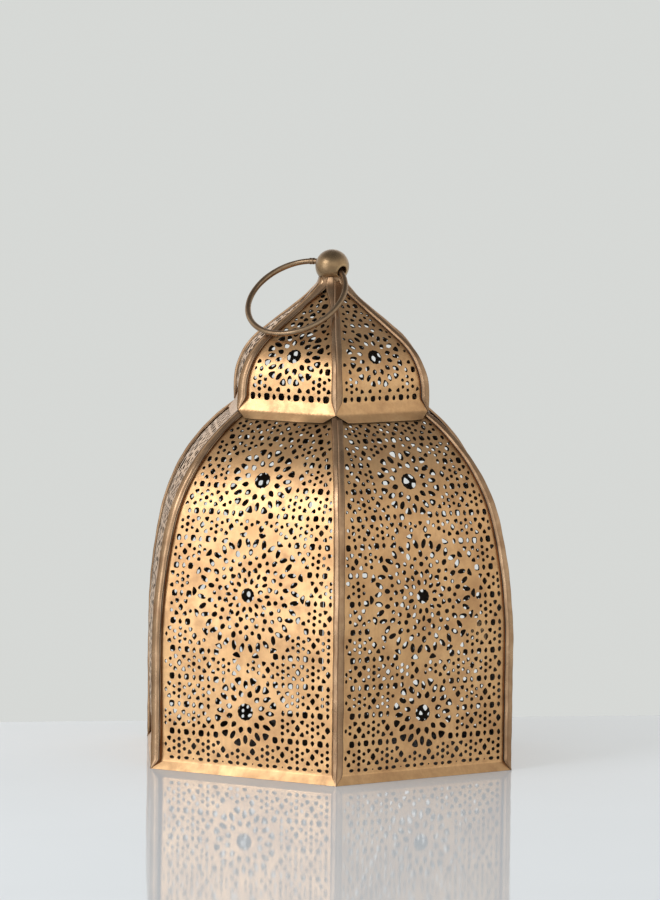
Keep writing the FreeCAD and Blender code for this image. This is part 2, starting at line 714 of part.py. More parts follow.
def finial():
    """The hub between the seams, the stem, its washer and nut, and the ball on its small neck."""
    hub_foot = f"({DOME_TOP} - size.hub_length)"
    washer_foot = f"({hub_foot} - size.washer_thickness)"
    nut_foot = f"({washer_foot} - size.nut_height)"
    stem_top = f"({DOME_TOP} + size.stem_into_ball)"
    stem_foot = f"({hub_foot} - size.stem_below_hub)"
    stem = "size.stem_diameter"

    hub = cylinder("hub_blank", "size.hub_diameter", "size.hub_length", hub_foot)
    finish_piece(cut("hub", hub, cylinder("hub_bore", stem, "size.hub_length", hub_foot)), "rib_hub")
    washer = cylinder("washer_blank", "size.washer_diameter", "size.washer_thickness", washer_foot)
    washer_bore = cylinder("washer_bore", stem, "size.washer_thickness", washer_foot)
    finish_piece(cut("washer", washer, washer_bore), "finial_washer")
    nut = prism("nut_blank", "size.nut_flats", "size.nut_height", nut_foot)
    finish_piece(cut("nut", nut, cylinder("nut_bore", stem, "size.nut_height", nut_foot)), "finial_nut")
    finish_piece(cylinder("stem", stem, f"{stem_top} - {stem_foot}", stem_foot), "finial_stem")

    ball = document.addObject("Part::Sphere", "ball_blank")
    ball.setExpression("Radius", "size.ball_diameter / 2")
    ball.setExpression("Placement.Base.z", BALL_CENTRE)
    along, _ = ring_directions()
    cross_hole = document.addObject("Part::Cylinder", "ring_hole")
    cross_hole.setExpression("Radius", "size.ring_hole_diameter / 2")
    cross_hole.setExpression("Height", "size.ball_diameter * 2")
    hole_start = Vector(0, 0, number(BALL_CENTRE)) - along * number("size.ball_diameter")
    cross_hole.Placement = FreeCAD.Placement(hole_start, FreeCAD.Rotation(Vector(0, 0, 1), along))
    socket = cylinder("stem_socket", stem, "size.stem_into_ball", DOME_TOP)
    drilled = joined("ball_holes", cross_hole, socket)
    finish_piece(cut("ball", ball, drilled), "finial_ball")

    ball_radius = "(size.ball_diameter / 2)"
    under_ball = [f"{BALL_CENTRE} - sqrt({ball_radius}^2 - ({across})^2)"
                  for across in ("size.neck_diameter / 2", "size.stem_diameter / 2")]
    turned_body("finial_neck", [
        ("size.stem_diameter / 2", DOME_TOP),
        ("size.neck_diameter / 2", DOME_TOP),
        ("size.neck_diameter / 2", under_ball[0]),
        ("size.stem_diameter / 2", under_ball[1]),
    ], {2: (ball_radius, -1)})


def carrying_ring():
    """The closed wire ring lying on the dome, and the small ferrule over its joint."""
    along, to_middle = ring_directions()
    middle = Vector(0, 0, number(BALL_CENTRE)) + to_middle * number("size.ring_radius - size.ring_offset")
    across = to_middle * -1
    beside = along * -1
    axis = across.cross(beside)
    facing = FreeCAD.Rotation(across, beside, axis, "ZXY")
    placement = FreeCAD.Placement(middle, facing)

    wire = document.addObject("Part::Torus", "wire")
    wire.setExpression("Radius1", "size.ring_radius")
    wire.setExpression("Radius2", "size.ring_wire / 2")
    finish_piece(wire, "carry_ring", placement)

    sleeve = document.addObject("Part::Torus", "sleeve_blank")
    sleeve.setExpression("Radius1", "size.ring_radius")
    sleeve.setExpression("Radius2", "size.ferrule_diameter / 2")
    sleeve.setExpression("Angle3", "size.ferrule_sweep")
    start = FreeCAD.Rotation(Vector(0, 0, 1), number("size.ferrule_start"))
    sleeve.Placement = placement.multiply(FreeCAD.Placement(Vector(0, 0, 0), start))
    core = document.addObject("Part::Torus", "sleeve_core")
    core.setExpression("Radius1", "size.ring_radius")
    core.setExpression("Radius2", "size.ring_wire / 2")
    core.Placement = placement
    finish_piece(cut("sleeve", sleeve, core), "ring_ferrule")


# ---------------------------------------------------------------- the whole lantern

floor()
candle_cup()
cup_rivet()
for wall, turn in WALLS.items():
    if wall == DOOR_WALL:
        door()
    else:
        body_wall(f"body_panel_{wall}", turn, "0", "size.rib_thickness / 2")
    dome_wall(f"dome_panel_{wall}", turn)
for corner, turn in CORNERS.items():
    body_seam(f"body_rib_{corner}", turn)
    dome_seam(f"dome_rib_{corner}", turn)
door_knob()
hinge("lower", "size.hinge_low")
hinge("upper", "size.hinge_high")
door_stop()
finial()
carrying_ring()
document.recompute()

for item in document.Objects:
    faults = [state for state in item.State if state in ("Invalid", "Error")]
    if faults:
        raise RuntimeError(f"{item.Label} did not build: {faults}")

os.makedirs("parts", exist_ok=True)
for piece in pieces:
    shape = piece.Shape
    if shape.isNull() or not shape.isValid() or not shape.Solids:
        raise RuntimeError(f"{piece.Label} has no valid solid")
    shape.exportStep(os.path.join("parts", f"{piece.Label}.step"))
    box = shape.BoundBox
    print(f"{piece.Label:28s} {shape.Volume:10.1f} mm3  solids {len(shape.Solids)}"
          f"  x {box.XMin:.1f} {box.XMax:.1f}  y {box.YMin:.1f} {box.YMax:.1f}  z {box.ZMin:.1f} {box.ZMax:.1f}")
print(len(pieces), "pieces")
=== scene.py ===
"""The looks of a small six-sided Moroccan metal lantern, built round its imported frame.

Lengths in this script are millimetres unless a name says otherwise; meshes are made in metres.
A sheet is drawn flat first: u runs across it from its middle line, to the right as seen from
outside, and s runs up along it.  It is then bent along its side line and turned about Z.
"""
import json
import math
import random

import bpy
import numpy as np
from mathutils import Matrix, Vector
from mathutils.geometry import delaunay_2d_cdt


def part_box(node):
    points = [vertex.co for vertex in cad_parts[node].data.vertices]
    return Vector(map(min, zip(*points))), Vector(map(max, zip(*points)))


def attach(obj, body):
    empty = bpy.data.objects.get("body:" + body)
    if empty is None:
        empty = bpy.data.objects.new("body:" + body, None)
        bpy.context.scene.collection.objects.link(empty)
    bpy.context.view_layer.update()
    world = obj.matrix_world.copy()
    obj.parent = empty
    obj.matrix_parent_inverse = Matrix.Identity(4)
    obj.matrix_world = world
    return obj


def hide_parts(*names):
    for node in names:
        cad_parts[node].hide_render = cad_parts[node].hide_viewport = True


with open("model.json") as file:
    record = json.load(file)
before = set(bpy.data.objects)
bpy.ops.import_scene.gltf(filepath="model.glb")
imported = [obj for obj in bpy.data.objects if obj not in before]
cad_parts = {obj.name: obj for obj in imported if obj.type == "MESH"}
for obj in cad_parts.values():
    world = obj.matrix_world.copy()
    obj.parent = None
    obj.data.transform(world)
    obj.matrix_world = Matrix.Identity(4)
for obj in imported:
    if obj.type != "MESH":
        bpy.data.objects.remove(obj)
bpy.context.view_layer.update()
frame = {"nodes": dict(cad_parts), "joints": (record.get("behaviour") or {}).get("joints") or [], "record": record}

MM = 0.001
HALF_WALL = math.radians(30)
TAN = math.tan(HALF_WALL)
COS = math.cos(HALF_WALL)

# Degrees about Z from +X to each wall's middle and to each corner.
WALLS = {"front_left": -120, "front_right": -60, "right": 0, "back_right": 60, "back_left": 120,
         "left": 180}
CORNERS = {"front": -90, "front_right": -30, "back_right": 30, "back": 90, "back_left": 150,
           "front_left": 210}
DOOR_WALL = "back_right"


# ---------------------------------------------------------------- sizes, from the frame where it has them

def corners_mm(node):
    """The lowest and highest corner of a CAD node, in millimetres."""
    low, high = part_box(node)
    return low / MM, high / MM


# The sheet's thickness, and how far a seam's crest stands out from its corner.
SHEET = 0.5
RIB_PROUD = 2.4
wall_low, wall_high = corners_mm("body_panel_right")
dome_low, dome_high = corners_mm("dome_panel_right")
ball_low, ball_high = corners_mm("finial_ball")
BODY_FLAT = wall_high.x - RIB_PROUD * COS
BODY_TOP = wall_high.z
DOME_TOP = dome_high.z
BALL_RADIUS = (ball_high.x - ball_low.x) / 2
BALL_HEIGHT = ball_high.z - BALL_RADIUS
DOOR_FOOT = corners_mm("door_panel")[0].z
DOOR_TOP = corners_mm("door_panel")[1].z

# Where the walls' side lines bend: distance from the axis, height.
FOOT = (BODY_FLAT + RIB_PROUD * COS, 0.0)
FLARE_TOP = (BODY_FLAT, 3.4)
STRAIGHT = (BODY_FLAT, 47.0)
SHOULDER = (BODY_FLAT - 4.95, BODY_TOP - 42.0)
NECK = (BODY_FLAT - 32.25, BODY_TOP)
DOME_FLAT = NECK[0] + 0.4
RIDGE = (DOME_FLAT + 1.75, BODY_TOP + 0.3)
SKIRT = (RIDGE[0] + 2.2, RIDGE[1] - 3.1)
BAND_TOP = (DOME_FLAT, BODY_TOP + 5.0)
DOME_STRAIGHT = (DOME_FLAT, BODY_TOP + 7.0)
DOME_BEND = (DOME_FLAT - 9.45, BODY_TOP + 27.5)
SWEEP = (11.9, BODY_TOP + 38.4)
SUMMIT = (3.6, DOME_TOP)
SWEEP_RADIUS = 65.0


# ---------------------------------------------------------------- side lines

STEP = 0.1


def line(start, end):
    """Points along a straight stretch."""
    count = max(2, int(math.dist(start, end) / STEP))
    return [(start[0] + (end[0] - start[0]) * i / count, start[1] + (end[1] - start[1]) * i / count)
            for i in range(count)]


def arc(start, end, radius, side):
    """Points along the short arc from start to end; side is 1 when its centre is on the left."""
    across, up = end[0] - start[0], end[1] - start[1]
    chord = math.hypot(across, up)
    rise = side * math.sqrt(radius ** 2 - chord ** 2 / 4)
    centre = (start[0] + across / 2 - up / chord * rise, start[1] + up / 2 + across / chord * rise)
    first = math.atan2(start[1] - centre[1], start[0] - centre[0])
    sweep = side * 2 * math.asin(chord / 2 / radius)
    count = max(2, int(radius * abs(sweep) / STEP))
    return [(centre[0] + radius * math.cos(first + sweep * i / count),
             centre[1] + radius * math.sin(first + sweep * i / count)) for i in range(count)]


def leaving_upright(start, end):
    """Radius of the arc that leaves an upright line at start and reaches end."""
    across, up = start[0] - end[0], end[1] - start[1]
    return (across ** 2 + up ** 2) / (2 * across)


class SideLine:
    """The side line of a bent sheet, measured along it; s is 0 at the point named zero."""

    def __init__(self, points, soften, zero):
        points = np.array(points)
        width = max(1, int(soften / STEP)) | 1
        before, after = (np.repeat(end, width // 2, 0) for end in (points[:1], points[-1:]))
        padded = np.vstack([before, points, after])
        kernel = np.ones(width) / width
        points = np.stack([np.convolve(padded[:, i], kernel, "valid") for i in (0, 1)], 1)
        runs = np.hypot(*np.diff(points, axis=0).T)
        length = np.concatenate([[0], np.cumsum(runs)])
        nearest = np.hypot(*(points - np.array(zero)).T).argmin()
        self.s = length - length[nearest]
        self.across, self.up = points.T
        tangent = np.gradient(points, axis=0)
        tangent /= np.linalg.norm(tangent, axis=1)[:, None]
        self.out_across, self.out_up = tangent[:, 1], -tangent[:, 0]

    def at(self, s):
        """Distance from the axis, height, and the outward direction's two parts."""
        return [np.interp(s, self.s, v) for v in (self.across, self.up, self.out_across, self.out_up)]

    def s_at_height(self, height):
        """Where the line reaches a height, above the point where s is 0."""
        above = self.s >= 0
        return float(np.interp(height, self.up[above], self.s[above]))


SHOULDER_RADIUS = leaving_upright(STRAIGHT, SHOULDER)
shoulder_lean = 2 * math.atan2(STRAIGHT[0] - SHOULDER[0], SHOULDER[1] - STRAIGHT[1])
brow_chord = math.dist(SHOULDER, NECK)
brow_turn = math.atan2(SHOULDER[0] - NECK[0], NECK[1] - SHOULDER[1]) - shoulder_lean
BROW_RADIUS = brow_chord / (2 * math.sin(brow_turn))

BODY_LINE = SideLine(
    line(FOOT, FLARE_TOP) + line(FLARE_TOP, STRAIGHT) + arc(STRAIGHT, SHOULDER, SHOULDER_RADIUS, 1)
    + arc(SHOULDER, NECK, BROW_RADIUS, 1) + [NECK], 0.7, FOOT)
dome_side = (
    line(SKIRT, RIDGE) + line(RIDGE, BAND_TOP) + line(BAND_TOP, DOME_STRAIGHT)
    + arc(DOME_STRAIGHT, DOME_BEND, leaving_upright(DOME_STRAIGHT, DOME_BEND), 1) + line(DOME_BEND, SWEEP)
    + arc(SWEEP, SUMMIT, SWEEP_RADIUS, -1))
DOME_LINE = SideLine(dome_side + [SUMMIT], 0.9, RIDGE)
# The seams alone run on up to the ball.
SEAM_SUMMIT = (2.9, DOME_TOP + 2.7)
DOME_SEAM_LINE = SideLine(dome_side + line(SUMMIT, SEAM_SUMMIT) + [SEAM_SUMMIT], 0.9, RIDGE)


# ---------------------------------------------------------------- punched holes

# The lattice's spacing across and up, and how far hand punching strays, in millimetres and radians.
COLUMN = 6.27
ROW = 10.45
STRAY = 0.06
# How far each side of the middle line the lattice runs, in columns; what doesn't fit is left out.
COLUMNS_EACH_WAY = range(-8, 9)


def hole_outline(kind, width, height, turn, rng):
    """A hole's outline about its own middle; its tip, if it has one, is turned by turn from up."""
    count = 14 if max(width, height) > 2.3 else 12 if max(width, height) > 1.55 else 10
    power = {"square": 2.9, "diamond": 1.45}.get(kind, 2.0)
    lobes = [(2, 0.03, rng.uniform(0, math.tau)), (3, 0.022, rng.uniform(0, math.tau))]
    outline = []
    for i in range(count):
        angle = math.tau * i / count
        c, s = math.cos(angle), math.sin(angle)
        x = width / 2 * math.copysign(abs(c) ** (2 / power), c)
        y = height / 2 * math.copysign(abs(s) ** (2 / power), s)
        if kind == "tear":
            x *= 1 - 0.42 * max(0.0, s)
        if kind == "triangle":
            x *= 1.06 - 0.36 * s
            y -= height * 0.05 * math.cos(2 * angle)
        swell = 1 + sum(size * math.sin(n * angle + phase) for n, size, phase in lobes)
        x, y = x * swell, y * swell
        outline.append((x * math.cos(turn) - y * math.sin(turn), x * math.sin(turn) + y * math.cos(turn)))
    return outline


def ring_of_holes(middle, count, radius, first, kind, width, height, inward=False, tilt=0.0, scale=1.0):
    """Holes spaced round a rosette, their tips pointing out, or in.  Odd ones tilt the other way."""
    holes = []
    for i in range(count):
        angle = math.radians(first + 360 * i / count)
        lean = math.radians(tilt) * (1 if i % 2 else -1)
        turn = -angle + (math.pi if inward else 0) + lean
        holes.append((radius * scale * math.sin(angle), middle + radius * scale * math.cos(angle),
                      kind, width * scale, height * scale, turn))
    return holes


def small_rosette(middle, scale=1.0):
    """A rosette of a big centre hole and three rings."""
    return ([(0.0, middle, "centre", 6.4 * scale, 6.4 * scale, 0.0)]
            + ring_of_holes(middle, 12, 7.0, 15, "tear", 2.1, 2.75, scale=scale)
            + ring_of_holes(middle, 12, 10.4, 0, "round", 1.95, 3.5, scale=scale)
            + ring_of_holes(middle, 12, 12.0, 15, "triangle", 2.55, 2.85, inward=True, scale=scale))


def large_rosette(middle):
    """The middle rosette, of eight rings round a centre hole."""
    return ([(0.0, middle, "centre", 5.4, 5.4, 0.0)]
            + ring_of_holes(middle, 12, 5.45, 15, "round", 1.55, 2.3)
            + ring_of_holes(middle, 12, 8.1, 0, "round", 1.45, 2.4)
            + ring_of_holes(middle, 12, 9.5, 15, "triangle", 2.0, 2.0)
            + ring_of_holes(middle, 18, 12.05, 0, "round", 1.9, 1.9)
            + ring_of_holes(middle, 18, 14.25, 10, "round", 1.6, 1.6)
            + ring_of_holes(middle, 18, 16.0, 0, "round", 1.9, 2.6)
            + ring_of_holes(middle, 36, 19.65, 5, "round", 1.9, 3.6, tilt=19)
            + ring_of_holes(middle, 18, 22.8, 10, "triangle", 2.9, 1.95, inward=True))


def lattice(first_row, rows, big_shift):
    """Rows of big holes and teardrops with bands of diamonds and dots between them."""
    holes = []
    tear_shift = 0.5 - big_shift
    for row in range(rows):
        level = first_row + ROW * row
        for k in COLUMNS_EACH_WAY:
            holes.append(((k + big_shift) * COLUMN, level, "square", 2.25, 2.45, 0.0))
            tip = 0.0 if (k + row + 1) % 2 == 0 else math.pi
            holes.append(((k + tear_shift) * COLUMN, level, "tear", 1.5, 2.1, tip))
    for band in range(rows + 1):
        level = first_row - ROW / 2 + ROW * band
        for k in COLUMNS_EACH_WAY:
            u = (k + tear_shift) * COLUMN
            if (k + band) % 2 == 0:
                holes.append((u, level, "diamond", 2.15, 2.75, 0.0))
                for side in (-1, 1):
                    for above in (-1, 1):
                        lean = math.pi / 4 * side * -above + (math.pi if above < 0 else 0)
                        holes.append((u + side * 1.87, level + above * 2.4, "triangle", 1.7, 1.75, lean))
            else:
                holes.append((u, level, "round", 1.75, 1.75, 0.0))
                for above in (-1, 1):
                    holes.append((u, level + above * 2.47, "round", 1.5, 1.5, 0.0))
                    for side in (-1, 1):
                        holes.append((u + side * 2.22, level + above * 1.28, "round", 1.45, 1.45, 0.0))
    return holes


def outside(holes, middle, radius):
    """The holes whose middles lie outside a rosette's plain margin."""
    return [hole for hole in holes if math.hypot(hole[0], hole[1] - middle) > radius]


def body_pattern():
    """All the holes of a body panel, measured up from its foot."""
    first_row, foot_level = 15.4, 5.46
    lower, centre, upper = 25.0, 68.8, 112.3
    small_margin, large_margin = 14.7, 25.0
    holes = lattice(first_row, 12, 0.0)
    for middle, margin in ((lower, small_margin), (centre, large_margin), (upper, small_margin)):
        holes = outside(holes, middle, margin)
    for k in COLUMNS_EACH_WAY:
        holes.append((k * COLUMN, foot_level, "round", 2.15, 1.35, 0.0))
        size = 0.6 if k % 2 == 0 else 1.5
        holes.append(((k + 0.5) * COLUMN, foot_level, "round", size, size, 0.0))
    return small_rosette(lower) + large_rosette(centre) + small_rosette(upper) + holes


def dome_pattern():
    """All the holes of a dome panel, measured up from its ridge."""
    first_row, middle, margin, rosette_scale = 5.75, 21.7, 12.9, 0.9
    band_top = 4.9
    holes = outside(lattice(first_row, 5, 0.5), middle, margin)
    return small_rosette(middle, rosette_scale) + [hole for hole in holes if hole[1] > band_top]


def fitted_holes(pattern, hole_limit, low, high, size, rng):
    """Outlines of the holes that fit a panel, shaken a little as hand punching leaves them.

    hole_limit gives how far out from the middle line a hole may reach at s, on the side of u.
    A hole that would reach past it is narrowed, or left out when less than smallest is left of it.
    """
    smallest = 0.95
    outlines, placed = [], []
    for u, s, kind, width, height, turn in pattern:
        big = kind == "centre"
        u += 0 if big else rng.gauss(0, STRAY)
        s += 0 if big else rng.gauss(0, STRAY)
        grow = 1 if big else size * rng.uniform(0.95, 1.05)
        width, height = width * grow, height * grow
        turn += 0 if big else rng.gauss(0, STRAY)
        if s - height / 2 < low or s + height / 2 > high:
            continue
        limit = float(hole_limit(s, u))
        room = limit - (abs(u) - width / 2)
        if room < min(width, smallest):
            continue
        if room < width:
            u = math.copysign(limit - room / 2, u)
            width, height = room, min(height, room * 1.5)
        reach = max(width, height) / 2
        if any(math.hypot(u - pu, s - ps) < ((width + height) / 4 + pr) * 0.95 + 0.1 for pu, ps, pr in placed
               if abs(u - pu) < 6 and abs(s - ps) < 6):
            continue
        placed.append((u, s, (width + height) / 4 if not big else reach))
        if big:
            outline = [(width / 2 * (1 + 0.035 * math.cos(12 * a)) * math.cos(a),
                        width / 2 * (1 + 0.035 * math.cos(12 * a)) * math.sin(a))
                       for a in (math.tau * i / 36 for i in range(36))]
        else:
            outline = hole_outline(kind, width, height, turn, rng)
        outlines.append(np.array(outline) + (u, s))
    return outlines, np.array(placed)


# ---------------------------------------------------------------- meshes

def new_mesh(name, points, faces, materials, body, face_materials=None, normals=None, sharp=None):
    """A mesh object from points in millimetres, riding on a body; nothing reaches below the floor."""
    mesh = bpy.data.meshes.new(name)
    points = np.array(points, dtype=float)
    points[:, 2] = np.maximum(points[:, 2], 0.0)
    mesh.from_pydata([tuple(p) for p in points * MM], [], faces)
    for material in materials:
        mesh.materials.append(material)
    if face_materials is not None:
        mesh.polygons.foreach_set("material_index", np.asarray(face_materials, dtype=np.int32))
    mesh.polygons.foreach_set("use_smooth", np.ones(len(mesh.polygons), dtype=bool))
    mesh.update()
    if sharp is not None:
        mesh.set_sharp_from_angle(angle=math.radians(sharp))
    if normals is not None:
        mesh.normals_split_custom_set([tuple(n) for n in normals])
    piece = bpy.data.objects.new(name, mesh)
    bpy.context.scene.collection.objects.link(piece)
    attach(piece, body)
    return piece


def turned(points, degrees):
    """Points turned about Z."""
    angle = math.radians(degrees)
    c, s = math.cos(angle), math.sin(angle)
    points = np.asarray(points, dtype=float)
    x, y, z = points.T
    return np.stack([x * c - y * s, x * s + y * c, z], 1)


def dents(seed, size):
    """A gentle unevenness of a hand-worked sheet, as a function of u and s."""
    rng = random.Random(seed)
    waves = [(rng.uniform(0.03, 0.16), rng.uniform(0.03, 0.16), rng.uniform(0, math.tau),
              rng.uniform(0.4, 1.0)) for _ in range(7)]
    total = sum(w[3] for w in waves)

    def lift(u, s):
        return size * sum(a * np.sin(fu * u + fs * s + p) for fu, fs, p, a in waves) / total
    return lift


def edge_points(half_width, stations):
    """A closed outline up the right side and down the left, with the ends filled in."""
    right = [(float(half_width(s)), s) for s in stations]
    left = [(-u, s) for u, s in reversed(right)]
    gap = 2.5

    def across(start, end):
        count = max(1, int(abs(end[0] - start[0]) / gap))
        return [(start[0] + (end[0] - start[0]) * i / count, start[1]) for i in range(1, count)]
    return right + across(right[-1], left[0]) + left + across(left[-1], right[0])


def clear_of_holes(placed, u, s, margin):
    """Whether a point is at least a margin away from every hole."""
    if not len(placed):
        return True
    return not np.any(np.hypot(placed[:, 0] - u, placed[:, 1] - s) < placed[:, 2] * 1.35 + margin)


def flat_faces(rim, outlines, placed, half_width, span, bends):
    """The flat sheet round its holes, as points and triangles that turn to the left."""
    low, high = span
    points, loops = [], []
    for outline in [np.array(rim)] + outlines:
        loops.append((len(points), len(outline)))
        points.extend(map(tuple, outline))
    edges = [(start + i, start + (i + 1) % count) for start, count in loops for i in range(count)]
    pitch, bend_pitch = 3.0, 1.6
    for s in np.arange(low + pitch / 2, high, pitch):
        for u in np.arange(-45, 45.1, pitch):
            if abs(u) > half_width(s) - 0.8:
                continue
            if clear_of_holes(placed, u, s, 0.5):
                points.append((u, s))
    for s in bends:
        if not low < s < high:
            continue
        limit = float(half_width(s))
        row = np.linspace(-limit, limit, 2 * int(limit / bend_pitch) + 1)[1:-1]
        points.extend((float(u), s) for u in row if clear_of_holes(placed, u, s, 0.2))
    coords, _, faces, origins, _, _ = delaunay_2d_cdt([Vector(p) for p in points], edges, [], 1, 1e-6, True)
    owner = np.full(len(points), -1)
    for number, (start, count) in enumerate(loops):
        owner[start:start + count] = number
    vertex_owner = np.array([owner[o[0]] if o else -1 for o in origins])
    flat = np.array([tuple(c) for c in coords])
    kept = []
    for face in faces:
        owners = {int(vertex_owner[v]) for v in face}
        if len(owners) == 1 and next(iter(owners)) > 0:
            continue
        (ax, ay), (bx, by), (cx, cy) = flat[list(face)]
        if (bx - ax) * (cy - ay) - (by - ay) * (cx - ax) < 0:
            face = face[::-1]
        kept.append(tuple(face))
    return flat, kept


def pierced_sheet(name, side_line, half_width, hole_limit, pattern, span, bends, turn, body, lift,
                  replaced, size):
    """A pierced, bent sheet with real thickness.

    half_width gives the sheet's half width at s, span is its ends along s, bends are the levels that
    need lines across the sheet, lift is an outward shift as a function of u and s, and size makes
    this panel's holes larger or smaller.
    """
    rng = random.Random(replaced)
    low, high = span
    end_margin, station_gap = 0.9, 1.9
    stations = sorted(set([low, high] + bends + list(np.arange(low + 1.0, high - 0.8, station_gap))))
    rim = edge_points(half_width, stations)
    outlines, placed = fitted_holes(pattern, hole_limit, max(low, 0) + end_margin, high - end_margin,
                                    size, rng)
    flat, kept = flat_faces(rim, outlines, placed, half_width, span, bends)
    u, s = flat.T
    across, up, out_across, out_up = side_line.at(s)
    shift = lift(u, s)
    probe = 0.05
    slope_u = (lift(u + probe, s) - shift) / probe
    slope_s = (lift(u, s + probe) - shift) / probe
    zero = np.zeros_like(u)
    out = np.stack([out_across, zero, out_up], 1)
    along = np.stack([-out_up, zero, out_across], 1)
    side = np.stack([zero, zero + 1, zero], 1)
    front = np.stack([across, u, up], 1) + out * shift[:, None]
    back = front - out * SHEET
    normal = out - side * slope_u[:, None] - along * slope_s[:, None]
    normal /= np.linalg.norm(normal, axis=1)[:, None]
    count = len(front)
    used = dict.fromkeys(pair for face in kept for pair in zip(face, face[1:] + face[:1]))
    borders = [pair for pair in used if (pair[1], pair[0]) not in used]
    all_faces = kept + [tuple(v + count for v in reversed(face)) for face in kept]
    all_faces += [(b, a, a + count, b + count) for a, b in borders]
    materials = [0] * len(kept) + [1] * len(kept) + [2] * len(borders)
    normal = turned(normal, turn)
    both = turned(np.vstack([front, back]), turn)
    loop_normals = [normal[v] for face in kept for v in face]
    loop_normals += [-normal[v] for face in kept for v in reversed(face)]
    for a, b in borders:
        wall = np.cross(both[a] - both[b], both[a + count] - both[a])
        wall /= np.linalg.norm(wall) + 1e-12
        loop_normals += [wall] * 4
    # Back faces take the inside colour, painted dark as shade; hole walls take the near-black edge colour.
    piece = new_mesh(name, both, all_faces, [SHEET_METAL, INSIDE_SHADE_METAL, EDGE_AND_SHADE_METAL], body,
                     materials, loop_normals)
    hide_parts(replaced)


# How much further a seam's foot reaches on its right, and how far the walls swell in the middle.
SEAM_COVE = 1.0
PLAIN_SWELL = 0.5
LEFT_SWELL = 2.4


def body_sheet(wall, turn):
    """One body panel, or the door, which is narrower and ends below the skirt."""
    is_door = wall == DOOR_WALL
    low = DOOR_FOOT * 1.2 if is_door else 0.0
    high = BODY_LINE.s_at_height(DOOR_TOP) if is_door else float(BODY_LINE.s[-1])

    def half_width(s):
        inset = 2.2 if is_door else np.interp(s, [2.0, 4.2], [0.08, 0.6])
        return BODY_LINE.at(s)[0] * TAN - inset / COS

    def hole_limit(s, u):
        return BODY_LINE.at(s)[0] * TAN - (2.0 + SEAM_COVE if u < 0 else 2.0) / COS
    name = "door_panel" if is_door else f"body_panel_{wall}"
    body = "door" if is_door else "lantern"
    bends = [3.4, 3.7, 4.0, 4.3, 4.6]
    rough = dents(name, 0.28)
    swell = LEFT_SWELL if wall == "left" else PLAIN_SWELL
    middle = high / 2

    def lift(u, s):
        ease = np.clip((s - 1.0) / 6, 0, 1)
        across = 1 - np.clip(u / (BODY_LINE.at(s)[0] * TAN), -1, 1) ** 2
        upward = 1 - np.clip((s - middle) / middle, -1, 1) ** 4
        return rough(u, s) * ease + swell * across * upward
    pierced_sheet(f"{name}_pierced", BODY_LINE, half_width, hole_limit, body_pattern(), (low, high), bends,
                  turn, body, lift, name, 1.0)


SKIRT_LENGTH = float(-DOME_LINE.s[0])
# The size of each dome panel's holes, for those that differ from the rest.
DOME_HOLES = {"front_left": 1.12, "front_right": 0.95}
OTHER_DOME_HOLES = 1.03


def dome_sheet(wall, turn):
    """One dome panel with its ridge and the skirt below it, whose ends are cut back and curled."""
    def half_width(s):
        full = DOME_LINE.at(s)[0] * TAN - np.interp(s, [3.0, 6.0], [0.08, 0.6]) / COS
        below = max(0.0, -float(s)) / SKIRT_LENGTH
        return full - 5.2 * below ** 0.8

    def hole_limit(s, u):
        return DOME_LINE.at(s)[0] * TAN - (1.9 + SEAM_COVE if u < 0 else 1.9) / COS
    rough = dents(f"dome_{wall}", 0.16)
    skirt_wave = dents(f"skirt_{wall}", 0.45)
    swell = 0.7 * LEFT_SWELL if wall == "left" else 0.5 * PLAIN_SWELL

    def lift(u, s):
        below = np.clip(-s / SKIRT_LENGTH, 0, 1)
        end = np.clip((np.abs(u) - 11.0) / 6.0, 0, 1)
        across = 1 - np.clip(u / (DOME_LINE.at(s)[0] * TAN), -1, 1) ** 2
        upward = np.clip(s / 8, 0, 1) * np.clip((DOME_LINE.s[-1] - s) / 25, 0, 1)
        bend = rough(u, s) * np.clip(s / 6, 0.2, 1) + swell * across * upward
        return bend + below ** 2 * (0.55 * end ** 2 + 0.5 * skirt_wave(u * 4, 0))
    bends = [-0.9, -0.45, 0.0, 0.45, 0.9, 3.9, 4.9]
    pierced_sheet(f"dome_panel_{wall}_pierced", DOME_LINE, half_width, hole_limit, dome_pattern(),
                  (-SKIRT_LENGTH, float(DOME_LINE.s[-1])), bends, turn, "lantern", lift,
                  f"dome_panel_{wall}", DOME_HOLES.get(wall, OTHER_DOME_HOLES))


# ---------------------------------------------------------------- corner seams

# Section of a folded seam: across it to the right seen from outside, and out from the panels.
SEAM_SECTION = [
    (-1.62, -0.25), (-1.62, 0.15), (-1.52, 0.4), (-1.46, 0.9), (-1.44, 1.25), (-1.36, 1.46),
    (-1.16, 1.64), (-0.86, 1.84), (-0.5, 2.07), (-0.14, 2.29), (0.04, 2.38), (0.18, 2.36),
    (0.27, 2.24), (0.28, 1.95), (0.3, 1.6), (0.48, 1.22), (0.88, 0.9), (1.45, 0.68), (2.05, 0.52),
    (2.4, 0.38), (2.52, 0.15), (2.52, -0.25), (0.45, -0.5), (0.45, -2.4), (-0.45, -2.4), (-0.45, -0.5)]
# Strips of the section painted near-black as shade: the left foot's edge and the right foot's rounding.
SHADE_STRIPS = (0, 19)


